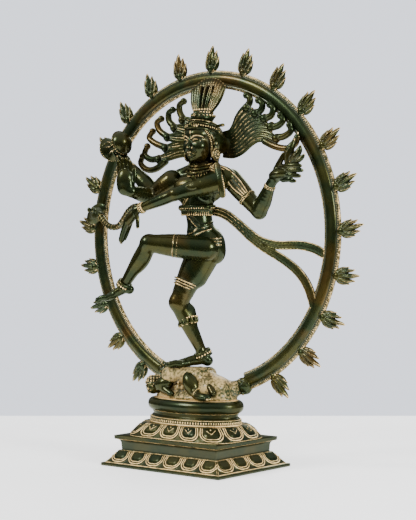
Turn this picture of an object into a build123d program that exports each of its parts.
"""A dancing four-armed brass figure in a ring of flames, on a lotus base.

Millimetres. +Z is up, the figure faces -Y, and the origin is the centre of the base's underside.
Every casting, ornament and fastener is its own solid, and neighbours meet face to face.
"""
from build123d import *
from math import atan2, cos, pi, radians, sin, sqrt
import os

# ---------------------------------------------------------------- driving dimensions
SLAB_WIDTH, SLAB_DEPTH, SLAB_HEIGHT = 164.4, 124.6, 3.6        # bottom slab of the plinth
TIER_WIDTH, TIER_DEPTH = 158.0, 118.0                          # lower lotus tier at its foot
NECK_WIDTH, NECK_DEPTH = 132.4, 93.4                           # recessed band above the tier
TOP_WIDTH, TOP_DEPTH = 144.8, 100.9                            # upper slab
TIER_TOP_Z, NECK_TOP_Z, TOP_Z = 15.7, 28.5, 32.7
WALL = 4.0                                                     # thickness of the hollow casting

LOTUS_TOP_Z, COLLAR_TOP_Z, CUSHION_TOP_Z = 47.0, 53.5, 73.5
LOTUS_WIDTH, LOTUS_DEPTH = 140.0, 95.0                         # lotus pedestal at its foot
COLLAR_A, COLLAR_B = 58.0, 36.0                                # half axes of the beaded collar
CUSHION_A, CUSHION_B = 60.0, 37.5                              # half axes of the cushion

RING_Y, RING_Z = 24.0, 253.0                                   # centre of the ring
RING_A, RING_B = 163.7, 168.6                                  # centreline half axes, X and Z
RIM_HALF, RIM_THICK = 9.8, 3.0                                 # flat rims of the ring's section
RIB_HALF, RIB_THICK, RIB_BEVEL = 5.8, 10.0, 2.6                # rounded rib down its middle
RING_END_X = 52.0                                              # where the ring's two ends stop
FLAME_COUNT, FLAME_LENGTH, FLAME_WIDTH, FLAME_THICK = 21, 27.0, 15.0, 7.0
FLAME_FIRST, FLAME_LAST = -59.2, 236.8                         # degrees up from +X
FLAME_LEAN = 16.0                                              # degrees the side flames lean up

SOLE_Z = 107.0                                                 # top of the demon's back
BOLT_RADIUS, BOLT_SPACING, BOLT_Y, BOLT_TOP_Z = 3.0, 44.0, 4.0, 84.0
BOLT_CLEARANCE, BOLT_HEAD_RADIUS, BOLT_HEAD_HEIGHT = 0.3, 5.5, 4.5
WASHER_RADIUS, WASHER_HEIGHT = 8.0, 1.4

# Joints of the skeleton. Left and right are the viewer's.
PELVIS, WAIST, CHEST = (13, 2, 238), (8, 1, 264), (12, 1, 301)
NECK, HEAD = (12, 2, 326), (9, -2, 353)
HIP_STANDING, KNEE_STANDING, ANKLE_STANDING = (5, 3, 233), (-13, -13, 177), (3, 7, 124)
HEEL_STANDING, TOE_STANDING = (7, 12, 113), (-22, -13, 111)
HIP_RAISED, KNEE_RAISED, ANKLE_RAISED = (19, -4, 236), (-33, -38, 242), (-71, -38, 195)
HEEL_RAISED, TOE_RAISED = (-63, -36, 190), (-98, -48, 180)
ARMS = {
    "arm_drum": [(-16, 7, 313), (-64, 6, 298), (-100, 2, 331)],
    "arm_blessing": [(-17, -4, 311), (-51, -13, 292), (-52, -46, 298)],
    "arm_crossing": [(41, -3, 309), (3, -36, 295), (-46, -44, 278)],
    "arm_fire": [(43, 10, 311), (76, 16, 273), (97, 9, 304)],
}
HANDS = {
    "arm_drum": [(-100, 2, 331), (-108, 0, 341), (-115, 0, 349)],
    "arm_blessing": [(-52, -46, 298), (-58, -49, 308), (-59, -50, 331)],
    "arm_crossing": [(-46, -44, 278), (-57, -46, 265), (-66, -46, 245)],
    "arm_fire": [(97, 9, 304), (105, 8, 314), (132, 8, 314)],
}
DRUM, DRUM_AXIS = (-117, -1, 353), (0.94, -0.12, 0.30)
FIRE_PALM = (117, 8, 323)
COBRA = [(-52, -38, 281), (-70, -31, 277), (-86, -24, 266), (-104, -12, 262), (-124, -4, 262), (-142, 3, 270)]
COBRA_HOOD, COBRA_RADIUS, COBRA_BEND = (-155, 8, 277), 3.8, 20.0


ON_FLOOR = (Align.CENTER, Align.CENTER, Align.MIN)             # a solid that stands on its origin


# ---------------------------------------------------------------- helpers
def tapered(a, b, ra, rb):
    """A round bar from a to b whose radius runs from ra to rb."""
    start, run = Vector(*a), Vector(*b) - Vector(*a)
    place = Plane(origin=start, z_dir=run)
    if abs(ra - rb) < 0.05:
        return place * Cylinder(ra, run.length, align=ON_FLOOR)
    return place * Cone(ra, rb, run.length, align=ON_FLOOR)


def ball(at, radius):
    return Pos(*at) * Sphere(radius)


def limb(points, radii, knuckle=1.04):
    """Bars along a line of joints, with a slightly fuller ball at each joint."""
    solid = ball(points[0], radii[0] * knuckle)
    for a, b, ra, rb in zip(points, points[1:], radii, radii[1:]):
        solid += tapered(a, b, ra, rb)
        solid += ball(b, rb * knuckle)
    return solid


def between(a, b, share):
    return tuple(p + (q - p) * share for p, q in zip(a, b))


def stack(sections):
    """A smooth body through level ellipses, each (x, y, z, half width, half depth)."""
    return loft([Pos(x, y, z) * Ellipse(a, b) for x, y, z, a, b in sections])


def slab(width, depth, low, high, corner=0.0):
    outline = RectangleRounded(width, depth, corner) if corner else Rectangle(width, depth)
    return extrude(Pos(0, 0, low) * outline, high - low)


def oval(a, b, low, high, x=0.0, y=0.0):
    return extrude(Pos(x, y, low) * Ellipse(a, b), high - low)


def band(a, b, share, inner, outer, width):
    """A short sleeve round the bar from a to b, centred at a share of its length."""
    place = Plane(origin=Vector(*between(a, b, share)), z_dir=Vector(*b) - Vector(*a))
    return place * (Cylinder(outer, width) - Cylinder(inner, width * 2))


def ribbon(line, widths, thickness, plane):
    """A flat strip drawn in a plane along a line of points, with its own width at each."""
    upper, lower = [], []
    last = len(line) - 1
    for i, (x, z) in enumerate(line):
        before, after = line[max(i - 1, 0)], line[min(i + 1, last)]
        dx, dz = after[0] - before[0], after[1] - before[1]
        half = widths[i] / 2 / sqrt(dx * dx + dz * dz)
        upper.append((x - dz * half, z + dx * half))
        lower.append((x + dz * half, z - dx * half))
    edges = [Spline(*upper), Line(upper[-1], lower[-1]), Spline(*lower), Line(lower[0], upper[0])]
    return extrude(plane * make_face(edges), thickness / 2, both=True)


def minus(piece, *others):
    for other in others:
        piece = piece - other
    return piece


def main_solid(piece):
    """The largest solid of a piece, without the crumbs that a cut leaves."""
    return max(piece.solids(), key=lambda solid: solid.volume)


def large_solids(piece, smallest=20.0):
    return Compound(children=[s for s in piece.solids() if s.volume > smallest])


# ---------------------------------------------------------------- base
def bolt_holes(radius, low, high):
    left, right = [Pos(x, BOLT_Y, low) * Cylinder(radius, high - low, align=ON_FLOOR)
                   for x in (-BOLT_SPACING / 2, BOLT_SPACING / 2)]
    return left + right


def base_pieces():
    """The hollow plinth, the lotus pedestal, the beaded collar and the cushion."""
    tier = loft([Pos(0, 0, SLAB_HEIGHT) * Rectangle(TIER_WIDTH, TIER_DEPTH),
                 Pos(0, 0, TIER_TOP_Z) * Rectangle(NECK_WIDTH + 4, NECK_DEPTH + 4)])
    outside = slab(SLAB_WIDTH, SLAB_DEPTH, 0, SLAB_HEIGHT) + tier
    outside += slab(NECK_WIDTH, NECK_DEPTH, TIER_TOP_Z, NECK_TOP_Z)
    outside += slab(TOP_WIDTH, TOP_DEPTH, NECK_TOP_Z, TOP_Z)
    inner_width, inner_depth = NECK_WIDTH - 2 * WALL, NECK_DEPTH - 2 * WALL
    hollow = loft([Pos(0, 0, -1) * Rectangle(TIER_WIDTH - 2 * WALL, TIER_DEPTH - 2 * WALL),
                   Pos(0, 0, TIER_TOP_Z - 1) * Rectangle(inner_width, inner_depth)])
    hollow += slab(inner_width, inner_depth, TIER_TOP_Z - 1.5, TOP_Z - WALL)
    clear = BOLT_RADIUS + BOLT_CLEARANCE
    plinth = outside - hollow - bolt_holes(clear, TOP_Z - WALL - 1, TOP_Z + 1)

    foot = Pos(0, 0, TOP_Z) * RectangleRounded(LOTUS_WIDTH, LOTUS_DEPTH, 30)
    head = Pos(0, 0, LOTUS_TOP_Z) * RectangleRounded(118, 74, 34)
    pedestal = loft([foot, head]) - bolt_holes(clear, TOP_Z - 1, LOTUS_TOP_Z + 1)

    collar = oval(COLLAR_A, COLLAR_B, LOTUS_TOP_Z, COLLAR_TOP_Z)
    collar = chamfer(collar.edges(), 1.5) - bolt_holes(clear, LOTUS_TOP_Z - 1, COLLAR_TOP_Z + 1)

    neck_top = COLLAR_TOP_Z + 6.0
    cushion = oval(COLLAR_A - 2, COLLAR_B - 1.5, COLLAR_TOP_Z, neck_top)
    roll = oval(CUSHION_A, CUSHION_B, neck_top, CUSHION_TOP_Z)
    cushion += fillet(roll.edges(), 5.5)
    cushion -= bolt_holes(clear, COLLAR_TOP_Z - 1, CUSHION_TOP_Z + 1)
    return {"base_plinth": plinth, "lotus_pedestal": pedestal,
            "beaded_collar": collar, "cushion": cushion}


def fastener_pieces():
    """Two bolts from inside the plinth up into the bed, each with a washer under its head."""
    roof = TOP_Z - WALL
    bolts, washers = [], []
    for x in (-BOLT_SPACING / 2, BOLT_SPACING / 2):
        head_z = roof - WASHER_HEIGHT - BOLT_HEAD_HEIGHT
        head = Pos(x, BOLT_Y, head_z) * extrude(RegularPolygon(BOLT_HEAD_RADIUS, 6), BOLT_HEAD_HEIGHT)
        shank = Pos(x, BOLT_Y, head_z + 1) * Cylinder(BOLT_RADIUS, BOLT_TOP_Z - head_z - 1, align=ON_FLOOR)
        bolts.append((head + shank).solid())
        ring = Cylinder(WASHER_RADIUS, WASHER_HEIGHT, align=ON_FLOOR)
        ring -= Cylinder(BOLT_RADIUS + BOLT_CLEARANCE, WASHER_HEIGHT, align=ON_FLOOR)
        washers.append((Pos(x, BOLT_Y, roof - WASHER_HEIGHT) * ring).solid())
    return {"mounting_bolts": Compound(children=bolts), "mounting_washers": Compound(children=washers)}


# ---------------------------------------------------------------- bed, demon and ring
def ring_loop(half_width, thickness):
    """A closed flat loop that follows the ring's centreline."""
    upright = Plane(origin=(0, RING_Y, RING_Z), x_dir=(1, 0, 0), z_dir=(0, -1, 0))
    outer = Ellipse(RING_A + half_width, RING_B + half_width)
    inner = Ellipse(RING_A - half_width, RING_B - half_width)
    return extrude(upright * (outer - inner), thickness / 2, both=True)


def ring_piece():
    rib = ring_loop(RIB_HALF, RIB_THICK)
    rib = chamfer(rib.edges(), RIB_BEVEL)
    loop = ring_loop(RIM_HALF, RIM_THICK) + rib
    gap = Pos(0, RING_Y, RING_Z - RING_B) * Box(2 * RING_END_X, 40, 60)
    return main_solid(loop - gap)


def ring_end(side):
    """Centre of the ring's section where one of its ends stops."""
    x = side * RING_END_X
    return x, RING_Y, RING_Z - RING_B * sqrt(1 - (x / RING_A) ** 2)


def bed_pieces(ring):
    """The rocky bed, the crouching demon on it, and the knots that grip the ring's ends."""
    bed = stack([(-3, 5, CUSHION_TOP_Z, 53, 29), (-3, 6, 79, 51, 26), (-4, 8, 86, 44, 20),
                 (-6, 10, 96, 26, 14)])
    for side in (-1, 1):
        x, y, z = ring_end(side)
        bed += tapered((side * 30, 10, 82), (x, y, z - 1), 8, 9)
    bed = bed & (Pos(0, 0, CUSHION_TOP_Z + 50) * Box(200, 120, 100))

    knots = []
    for side in (-1, 1):
        x, y, z = ring_end(side)
        knot = ball((x + side * 5, y, z + 1), 11.5)
        knots.append(main_solid(minus(knot, ring, bed)))

    spine = [(-38, -5, 88), (-24, 0, 95), (-6, 2, 98), (10, 2, 93), (24, -2, 86)]
    body = limb(spine, [8.5, 10.5, 11, 11, 9.5])
    body += limb([(24, -2, 86), (36, -14, 88), (46, -10, 80)], [8, 6.5, 5])
    body += limb([(-30, -4, 90), (-28, -19, 84), (-12, -23, 79)], [6.5, 5, 4])
    body += limb([(8, -6, 92), (2, -20, 84), (14, -24, 79)], [7, 5.5, 4])
    body += stack([(-6, 2, 98, 24, 9), (-6, 1, SOLE_Z, 20, 8)])
    body = body & (Pos(0, 0, CUSHION_TOP_Z) * Box(220, 140, SOLE_Z - CUSHION_TOP_Z, align=ON_FLOOR))
    head = stack([(-48, -12, 77, 5, 5), (-49, -12, 82, 9, 9), (-49, -11, 90, 10, 10.5),
                  (-48, -9, 98, 6.5, 7)])

    bolts = bolt_holes(BOLT_RADIUS, CUSHION_TOP_Z - 1, BOLT_TOP_Z)
    bed = main_solid(minus(bed, bolts, ring))
    body = main_solid(minus(body, bed, ring, *knots))
    head = main_solid(minus(head, bed, body, *knots))
    return {"demon_bed": bed, "demon_body": body, "demon_head": head,
            "ring_knots": Compound(children=[main_solid(minus(k, body)) for k in knots])}


def flame_pieces(ring):
    """Five-tongued flames standing round the outside of the ring, evenly spaced."""
    spacing = (FLAME_LAST - FLAME_FIRST) / (FLAME_COUNT - 1)
    half = FLAME_WIDTH / 2
    outline = [(-3.2, 0), (-half, 9), (-half, 17), (-4.6, 14), (-4.4, 22), (0, FLAME_LENGTH)]
    left = [Line(a, b) for a, b in zip(outline, outline[1:])]
    right = [mirror(edge, Plane.YZ) for edge in left]
    face = make_face(left + right + [Line((-3.2, 0), (3.2, 0))])
    pieces = {}
    for i in range(FLAME_COUNT):
        angle = radians(FLAME_FIRST + i * spacing)
        x, z = RING_A * cos(angle), RING_B * sin(angle)
        nx, nz = cos(angle) / RING_A, sin(angle) / RING_B
        long = sqrt(nx * nx + nz * nz)
        nx, nz = nx / long, nz / long
        at = (x + nx * (RIM_HALF - 1), RING_Y, RING_Z + z + nz * (RIM_HALF - 1))
        rise = atan2(nz, nx) + radians(FLAME_LEAN) * cos(angle)
        plane = Plane(origin=at, x_dir=(sin(rise), 0, -cos(rise)), z_dir=(0, -1, 0))
        flame = extrude(plane * face, FLAME_THICK / 2, both=True)
        pieces[f"flame_{i + 1:02d}"] = main_solid(flame - ring)
    return pieces


# ---------------------------------------------------------------- figure
def torso_piece():
    (px, py, pz), (wx, wy, wz), (cx, cy, cz) = PELVIS, WAIST, CHEST
    return stack([
        (px, py, pz - 20, 10, 9), (px, py, pz - 8, 18.5, 14.5), (px, py, pz + 6, 18.5, 14),
        (wx, wy, wz, 12.2, 10.8), (wx + 2, wy, wz + 16, 17, 12.5), (cx, cy, cz, 23, 14.5),
        (cx + 1, cy + 1, cz + 11, 24, 12), (cx, cy + 1, cz + 19, 9, 8),
        (NECK[0], NECK[1], NECK[2] + 7, 7.4, 7.4)])


def head_piece(torso):
    x, y, z = HEAD
    skull = stack([(x, y - 4, z - 24, 5, 6), (x, y - 3, z - 19, 10, 12), (x, y - 1, z - 8, 14.5, 17),
                   (x, y + 1, z + 6, 16.5, 19), (x, y + 3, z + 18, 14, 17), (x, y + 4, z + 25, 8, 10)])
    hair = stack([(x, y + 12, z - 22, 12, 6), (x, y + 12, z, 17.5, 10), (x, y + 8, z + 22, 11, 10)])
    return main_solid(skull + hair - torso)


def crown_pieces(head):
    """The cap on the crown of the head, and the fan of feathers that leans back to the ring."""
    x, y, z = HEAD[0], HEAD[1] + 4, HEAD[2] + 25
    cap = stack([(x, y, z - 3, 13, 14), (x, y, z + 4, 12, 12), (x, y + 1, z + 10, 12.5, 8.5),
                 (x, y + 2, z + 12, 10, 6)])
    lean = Plane(origin=(x, y + 2, z + 9), x_dir=(1, 0, 0), z_dir=(0, -0.96, 0.26))
    left = [(-10, 0), (-17, 13), (-23, 25), (-18, 33), (0, 36.5)]
    right = [(-px, pz) for px, pz in reversed(left)]
    outline = [Spline(*left), Spline(*right), Line(right[-1], left[0])]
    fan = extrude(lean * make_face(outline), 2.0, both=True)
    cap = main_solid(cap - head)
    return {"crown_cap": cap, "feather_fan": main_solid(minus(fan, cap, head))}


def hair_wing(side, head):
    """One flat wing of flying hair, grooved into locks, whose outer lock ends curl up."""
    plane = Plane(origin=(HEAD[0], HEAD[1] + 20, HEAD[2]), x_dir=(1, 0, 0), z_dir=(0, -1, 0))
    upper = [(12, 14), (22, 32), (38, 49), (50, 58)]
    outer = [(50, 58), (66, 50), (84, 32), (95, 8)]
    lower = [(95, 8), (76, 4), (56, 10), (36, -2), (14, -18)]
    if side < 0:
        upper = [(-10, 16), (-20, 20), (-30, 30), (-34, 42)]
        outer = [(-34, 42), (-52, 34), (-66, 16), (-76, -4)]
        lower = [(-76, -4), (-60, -18), (-44, -8), (-26, -6), (-10, -12)]
    edges = [Spline(*upper), Spline(*outer), Spline(*lower), Line(lower[-1], upper[0])]
    wing = extrude(plane * make_face(edges), 2.6, both=True)
    return main_solid(wing - head)


def rosettes(wings, names):
    """Round beads set on the front of both hair wings, where the locks begin to curl."""
    spots = [(47, 44), (57, 37), (65, 27), (72, 17), (80, 8),
             (-26, 30), (-35, 22), (-46, 12), (-52, 2)]
    front = HEAD[1] + 20 - 2.6
    beads = []
    for x, z in spots:
        bead = Pos(HEAD[0] + x, front - 0.8, HEAD[2] + z) * Rot(90, 0, 0) * Cylinder(4.2, 1.6)
        beads.append(main_solid(minus(bead, *[wings[name] for name in names])))
    return Compound(children=beads)


def leg_pieces(torso, ground):
    standing = limb([HIP_STANDING, KNEE_STANDING, ANKLE_STANDING], [15.5, 9.8, 5.6])
    calf = [between(KNEE_STANDING, ANKLE_STANDING, share) for share in (0.1, 0.4)]
    standing += limb(calf, [8.6, 8.4])
    standing += limb([ANKLE_STANDING, HEEL_STANDING, between(HEEL_STANDING, TOE_STANDING, 0.7), TOE_STANDING],
                     [5.6, 6.0, 5.5, 3.6])
    raised = limb([HIP_RAISED, KNEE_RAISED, ANKLE_RAISED], [14, 9.2, 5.4])
    raised += limb([ANKLE_RAISED, HEEL_RAISED, between(HEEL_RAISED, TOE_RAISED, 0.7), TOE_RAISED],
                   [5.4, 5.6, 5.2, 3.4])
    above = Pos(0, 0, SOLE_Z + 100) * Box(300, 200, 200)
    standing = main_solid(minus(standing & above, torso, ground))
    return {"leg_standing": standing, "leg_raised": main_solid(minus(raised, torso, standing))}


def arm_pieces(torso):
    pieces = {}
    for name, (shoulder, elbow, wrist) in ARMS.items():
        arm = limb([shoulder, between(shoulder, elbow, 0.5), elbow, between(elbow, wrist, 0.35), wrist],
                   [8.6, 7.6, 6.2, 6.4, 4.2])
        start, palm, tips = HANDS[name]
        arm += limb([start, palm, tips], [4.4, 5.6, 3.0])
        pieces[name] = arm
    done = [torso]
    for name in pieces:
        pieces[name] = main_solid(minus(pieces[name], *done))
        done.append(pieces[name])
    return pieces


def cobra_hood():
    """The spread hood: a rounded plate that faces forward, just clear of the ring's front."""
    plane = Plane(origin=COBRA_HOOD, x_dir=(0.97, 0.1, -0.22), z_dir=(-0.1, -0.99, -0.1))
    levels = [(-3, 11.5, 8), (0, 14.5, 10.5), (3, 11.5, 8)]
    return loft([plane.offset(rise) * Ellipse(a, b) for rise, a, b in levels])


def held_pieces(arms):
    """What the hands hold: the hourglass drum, the flame and the cobra."""
    along = Vector(*DRUM_AXIS).normalized()
    middle = Vector(*DRUM)
    drum = tapered(middle - along * 12, middle, 12, 5.5) + tapered(middle, middle + along * 12, 5.5, 12)
    x, y, z = FIRE_PALM
    fire = limb([(x, y, z), (x + 4, y, z + 12), (x + 8, y, z + 25)], [4, 5, 1.4])
    fire += limb([(x + 3, y, z), (x + 12, y, z + 9), (x + 17, y, z + 17)], [4, 4, 1.2])
    fire += limb([(x, y, z), (x + 12, y, z + 3), (x + 21, y, z + 7)], [4, 3.5, 1.2])
    route = FilletPolyline(*COBRA, radius=COBRA_BEND)
    cobra = sweep(Plane(origin=route @ 0, z_dir=route % 0) * Circle(COBRA_RADIUS), path=route)
    cobra += cobra_hood()
    return {"drum": main_solid(minus(drum, arms["arm_drum"])),
            "hand_flame": main_solid(minus(fire, arms["arm_fire"])),
            "cobra": main_solid(minus(cobra, arms["arm_crossing"]))}


def sash_piece(torso, ring):
    """The sash: one broad end at the waist that splits into two tails, both brazed to the ring."""
    start, end = Vector(20, 7, 268), Vector(150, RING_Y, 250)
    level = Vector(end.X - start.X, end.Y - start.Y, 0).normalized()
    plane = Plane(origin=start, x_dir=level, z_dir=level.cross(Vector(0, 0, 1)))
    shared = [(-12, 8), (4, 8.5), (18, 4), (32, -6), (50, -19)]
    upper = shared[-2:] + [(64, -25), (82, -29), (104, -28.5), (122, -32), (133, -38)]
    lower = shared[-2:] + [(64, -31), (84, -42), (102, -54), (115, -71), (121, -92)]
    sash = ribbon(shared, [8, 8, 9, 11, 13], 3.6, plane)
    sash += ribbon(upper, [6, 7, 8, 8.5, 8.5, 8.5, 9], 3.2, plane)
    sash += ribbon(lower, [6, 7, 8, 8.5, 8.5, 8.5, 9], 3.4, plane)
    return main_solid(minus(sash, torso, ring))


def ornament_pieces(torso, head, legs, arms, held):
    """Every band, chain and ring that is soldered on over the limbs."""
    body = [torso, *legs.values(), *arms.values()]
    wx, wy, wz = WAIST
    belt = oval(19.4, 14.8, wz + 12, wz + 17, wx + 2, wy) + oval(20.8, 16.0, wz + 17, wz + 21, wx + 2, wy)
    belt = main_solid(minus(belt, *body))
    nx, ny, nz = NECK
    necklace = Pos(nx, ny - 2, nz - 5) * Rot(14, 0, 0) * Torus(12.5, 2.0)
    strap = Pos(32, 0, 303) * Rot(0, -24, 8) * (Cylinder(17.5, 5) - Cylinder(14.6, 12))
    strap = strap & (Pos(34, 0, 303) * Box(14, 60, 40))
    x, y, z = HEAD
    rings = [Pos(x + side * 18, y + 2, z - 15) * Rot(0, 90, 0) * Cylinder(5.5, 3.4) for side in (-1, 1)]
    earrings = [main_solid(minus(r, head, torso, *arms.values())) for r in rings]

    armlets, bracelets = [], []
    for name, (shoulder, elbow, wrist) in ARMS.items():
        armlet = band(shoulder, elbow, 0.55, 6.0, 9.4, 4.0)
        bracelet = band(elbow, wrist, 0.9, 3.8, 6.2, 3.0)
        armlets.append(main_solid(minus(armlet, *body)))
        bracelets.append(main_solid(minus(bracelet, *body, held["cobra"])))
    anklets = [band(KNEE_STANDING, ANKLE_STANDING, 0.95, 5.0, 8.2, 5.0),
               band(KNEE_RAISED, ANKLE_RAISED, 0.93, 5.0, 8.0, 5.0)]
    anklets = [main_solid(minus(a, *body)) for a in anklets]
    bells = main_solid(minus(band(KNEE_STANDING, ANKLE_STANDING, 0.26, 7.0, 11.0, 6.0), *body))
    garter = main_solid(minus(band(HIP_STANDING, KNEE_STANDING, 0.66, 9.0, 14.0, 3.0), *body))
    return {"belt": belt, "necklace": main_solid(minus(necklace, *body, head)),
            "shoulder_strap": large_solids(minus(strap, *body)),
            "earrings": Compound(children=earrings), "armlets": Compound(children=armlets),
            "bracelets": Compound(children=bracelets), "anklets": Compound(children=anklets),
            "knee_bells": bells, "garter": garter}


# ---------------------------------------------------------------- assembly
def build():
    nodes = base_pieces()
    nodes.update(fastener_pieces())
    ring = ring_piece()
    nodes["flame_ring"] = ring
    nodes.update(bed_pieces(ring))
    nodes.update(flame_pieces(ring))

    torso = torso_piece()
    head = head_piece(torso)
    nodes.update({"torso": torso, "head": head})
    nodes.update(crown_pieces(head))
    wings = {"hair_wing_left": hair_wing(-1, head), "hair_wing_right": hair_wing(1, head)}
    legs = leg_pieces(torso, nodes["demon_body"])
    arms = arm_pieces(torso)
    held = held_pieces(arms)
    for name in wings:
        wings[name] = main_solid(minus(wings[name], torso, ring, nodes["crown_cap"], nodes["feather_fan"],
                                       arms["arm_fire"], held["hand_flame"]))
    nodes["feather_fan"] = main_solid(nodes["feather_fan"] - ring)
    nodes.update(wings)
    nodes.update(legs)
    nodes.update(arms)
    nodes.update(held)
    nodes["hair_rosettes"] = rosettes(wings, wings)
    nodes["sash"] = sash_piece(torso, ring)
    trim = ornament_pieces(torso, head, legs, arms, held)
    nodes.update(trim)
    for name in ("belt", "shoulder_strap", "armlets"):
        nodes["sash"] = main_solid(nodes["sash"] - nodes[name])
    nodes["sash"] = main_solid(minus(nodes["sash"], *legs.values(), *arms.values()))
    nodes["cobra"] = main_solid(minus(nodes["cobra"], ring, *nodes["bracelets"].solids()))
    return nodes


def write(nodes):
    os.makedirs("parts", exist_ok=True)
    for name, shape in nodes.items():
        export_step(shape, f"parts/{name}.step")
    print(len(nodes), "nodes written")


write(build())
